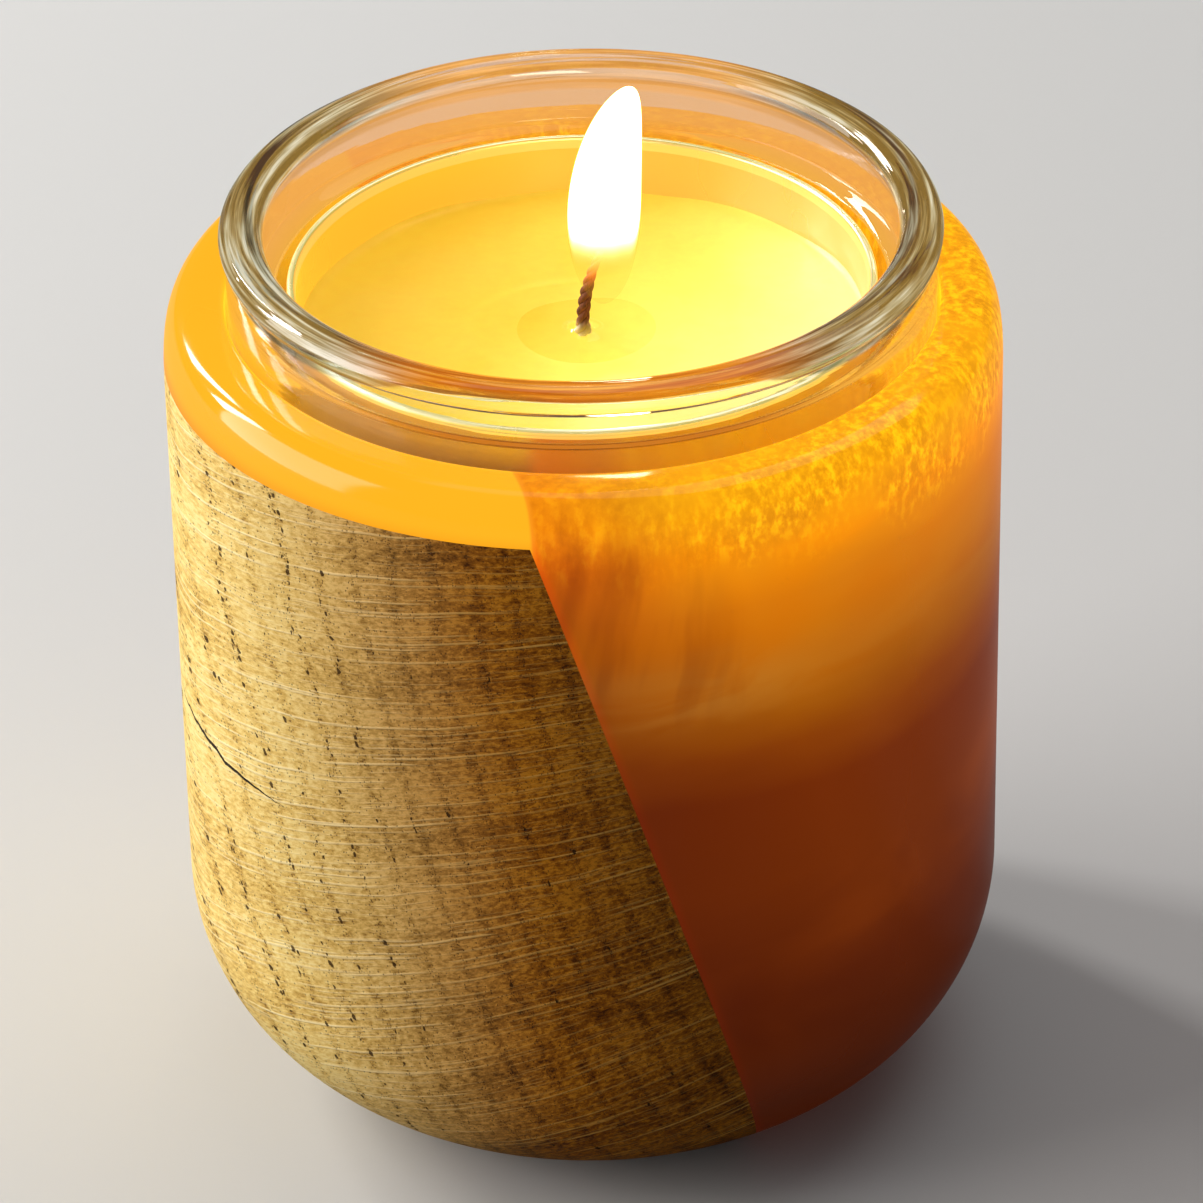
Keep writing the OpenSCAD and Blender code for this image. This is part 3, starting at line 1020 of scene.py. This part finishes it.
def build_melt_pool():
    """The liquid in the dish, which climbs the wick a little. Its underside lies just inside the wax."""
    reach = POOL_R * 1.05
    level = WAX_Z - 0.55 * MM
    first_r = WICK_R * 0.6
    rings = 40
    radii = [first_r + (reach - first_r) * i / rings for i in range(rings + 1)]
    tops = [level + 0.9 * MM * math.exp(-(r - WICK_R) / (0.6 * MM)) for r in radii]
    outline = list(zip(radii, tops)) + [(r, level - MM) for r in reversed(radii)]

    def settle(point, i, a):
        if i <= rings:
            return point
        r = math.hypot(point.x, point.y)
        under = min(wax_top(r, a) - 0.12 * MM, tops[2 * rings + 1 - i] - 0.03 * MM)
        return Vector((point.x, point.y, under))

    pool = lathe("melt_pool", outline, 128, settle, closed=True)
    pool.data.materials.append(liquid_material())
    assign(pool, "candle")


def wick_path(distance):
    """A point of the wick's centre line, at a distance above the wax or, if negative, below it."""
    if distance <= 0:
        return Vector((0, 0, WAX_Z + distance))
    bend_r = (WICK_TIP.z - WAX_Z) / math.sin(WICK_BEND)
    a = distance / bend_r
    return Vector((bend_r * (1 - math.cos(a)), 0, WAX_Z + bend_r * math.sin(a)))


def build_wick():
    """Three twisted strands with loose charred fibres at the tip."""
    random.seed(11)
    bm = bmesh.new()
    below = WAX_Z - WICK_FOOT_Z
    above = (WICK_TIP.z - WAX_Z) / math.sin(WICK_BEND) * WICK_BEND
    strand_r = WICK_R * 0.50
    twist_pitch = 3.4 * MM
    steps = 150
    for k in range(3):
        centres, radii = [], []
        for i in range(steps + 1):
            distance = -below + (below + above) * i / steps
            spin = TURN * (distance / twist_pitch + k / 3)
            burn = smoothstep(above * 0.35, above, distance)
            rough = 1 + 0.12 * noise.noise((distance / (0.5 * MM), k * 5.0, 0))
            spread = (WICK_R - strand_r) * (1 - 0.35 * burn)
            offset = Vector((math.cos(spin), math.sin(spin), 0)) * spread
            centres.append(wick_path(distance) + offset)
            radii.append(strand_r * rough * (1 - 0.38 * burn))
        tube(bm, centres, radii, 12)
    for k in range(9):
        a = TURN * k / 9 + random.uniform(-0.3, 0.3)
        length = random.uniform(0.3, 0.8) * MM
        start = wick_path(above - random.uniform(0.2, 0.9) * MM)
        aim = Vector((math.cos(a) * 0.7, math.sin(a) * 0.7, 0.5)).normalized()
        root = start + Vector((math.cos(a), math.sin(a), 0)) * WICK_R * 0.35
        centres = [root + aim * length * t / 3 for t in range(4)]
        tube(bm, centres, [0.07 * MM * (1 - t / 4) for t in range(4)], 5)
    wick = finish_mesh(bm, "braided_wick")
    wick.data.materials.append(wick_material())
    assign(wick, "candle", "wick")


def build_sustainer():
    """The tin disc that holds the wick upright, with a turned-up edge and a crimped neck."""
    floor_z = CUP_FLOOR_Z + CUP_WALL + CAST_GAP
    neck_r = WICK_R + 0.35 * MM
    t = SUSTAINER_T
    top = floor_z + t + SUSTAINER_NECK_H
    outline = [(WICK_R + CAST_GAP, floor_z), (SUSTAINER_R - t, floor_z)]
    outline += arc((SUSTAINER_R - t / 2, floor_z + t / 2), t / 2, t / 2, -90, 90, steps=6)
    outline += arc((neck_r + t, floor_z + 2 * t), t, t, -90, -180, steps=6)
    outline += [(neck_r, top), (WICK_R + CAST_GAP, top)]
    outline = respace(outline, 0.5 * MM)

    def crimp(point, i, a):
        """Four dents round the upper neck."""
        height = smoothstep(floor_z + 2 * MM, floor_z + 3 * MM, point.z)
        height *= 1 - smoothstep(top - MM, top, point.z)
        r = math.hypot(point.x, point.y)
        if r < WICK_R + 0.1 * MM or height == 0:
            return point
        dent = 0.12 * MM * height * (0.5 + 0.5 * math.cos(4 * a)) ** 3
        return Vector((point.x * (r - dent) / r, point.y * (r - dent) / r, point.z))

    sustainer = lathe("tin_sustainer", outline, 96, crimp, closed=True)
    sustainer.data.materials.append(steel_material())
    assign(sustainer, "candle", "wick_sustainer")


def build_flame():
    """An egg-shaped flame whose tip is drawn to one side."""
    rings, sides = 64, 48
    height = FLAME_TOP_Z - FLAME_BASE_Z
    widest, belly = 3.45 * MM, 0.45
    bm = bmesh.new()
    all_rings = []
    for i in range(rings + 1):
        t = 0.5 - 0.5 * math.cos(math.pi * i / rings)
        half = belly if t < belly else 1 - belly
        r = widest * math.sqrt(max(0.0, 1 - ((t - belly) / half) ** 2))
        centre = Vector((2.05 * MM + 2.7 * MM * t ** 3.5, 1.6 * MM * t ** 2, FLAME_BASE_Z + height * t))
        if i in (0, rings):
            all_rings.append([bm.verts.new(centre)])
            continue
        ring = []
        for j in range(sides):
            a = TURN * j / sides
            wave = 1 + 0.02 * math.sin(2 * a + 5 * t)
            ring.append(bm.verts.new(centre + Vector((math.cos(a), 0.8 * math.sin(a), 0)) * r * wave))
        all_rings.append(ring)
    for lower, upper in zip(all_rings, all_rings[1:]):
        skin(bm, lower, upper)
    flame = finish_mesh(bm, "flame")
    flame.data.materials.append(flame_material())
    flame.visible_shadow = False
    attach(flame, "candle")


# ------ floor, light and camera

def build_floor():
    """The floor, which is stage and not part of the object."""
    bm = bmesh.new()
    bmesh.ops.create_grid(bm, x_segments=1, y_segments=1, size=4)
    floor = finish_mesh(bm, "floor")
    floor.data.materials.append(floor_material())


LIGHT_AIM_Z = 0.05


def area_light(name, direction, distance, size, power, colour):
    """A rectangular soft light that looks at the object from a direction. Glass doesn't show it."""
    data = bpy.data.lights.new(name, "AREA")
    data.shape = "RECTANGLE"
    data.size, data.size_y = size
    data.energy = power
    data.color = colour
    light = add_object(name, data)
    away = Vector(direction).normalized()
    light.location = Vector((0, 0, LIGHT_AIM_Z)) + away * distance
    light.rotation_euler = away.to_track_quat("Z", "Y").to_euler()
    light.visible_camera = False
    light.visible_transmission = False


def build_lights():
    """A broad soft light to the left, two tall window-like panels behind it, and one overhead."""
    area_light("left_key", (-1.0, -0.08, 0.30), 1.2, (1.0, 1.0), 16, (1.0, 0.97, 0.93))
    window = (0.14, 0.42)
    area_light("window_left", (-0.80, 0.36, 0.50), 1.1, window, 4.6, (1.0, 0.98, 0.95))
    area_light("window_right", (-0.62, 0.62, 0.50), 1.1, window, 4.6, (1.0, 0.98, 0.95))
    area_light("overhead", (0.25, 0.35, 1.0), 1.4, (1.2, 1.2), 4.2, (1.0, 0.99, 0.97))


def build_surround():
    """A weak grey surround, dimmer in mirrors, that the camera sees as the pale backdrop."""
    s = Shader("surround", "worlds")
    path = s.node("LightPath").outputs
    dim = s.mix(path["Is Glossy Ray"], (0.112, 0.115, 0.120), (0.060, 0.056, 0.048))
    colour = s.mix(path["Is Camera Ray"], dim, PALE)
    surround = s.node("Background", {"Color": colour, "Strength": 1.0}).outputs[0]
    bpy.context.scene.world = s.end(surround, "OutputWorld")


def build_camera():
    """A long lens (in millimetres), from the front and about a third of the way up to overhead."""
    pitch = math.radians(32.3)
    roll = math.radians(-1.03)
    distance = 0.683
    target = Vector((1.3 * MM, 0, LIP_Z - 35.5 * MM))
    data = bpy.data.cameras.new("camera")
    data.lens = 209.5
    data.clip_start = 0.01
    data.clip_end = 20
    camera = add_object("camera", data)
    away = Vector((0, -math.cos(pitch), math.sin(pitch)))
    camera.location = target + away * distance
    turn = away.to_track_quat("Z", "Y").to_matrix().to_4x4() @ Matrix.Rotation(roll, 4, "Z")
    camera.rotation_euler = turn.to_euler()
    bpy.context.scene.camera = camera


build_holder()
build_glass()
build_cup()
build_wax()
build_melt_pool()
build_wick()
build_sustainer()
build_flame()
build_floor()
build_lights()
build_surround()
build_camera()
bpy.context.scene.view_settings.view_transform = "Standard"
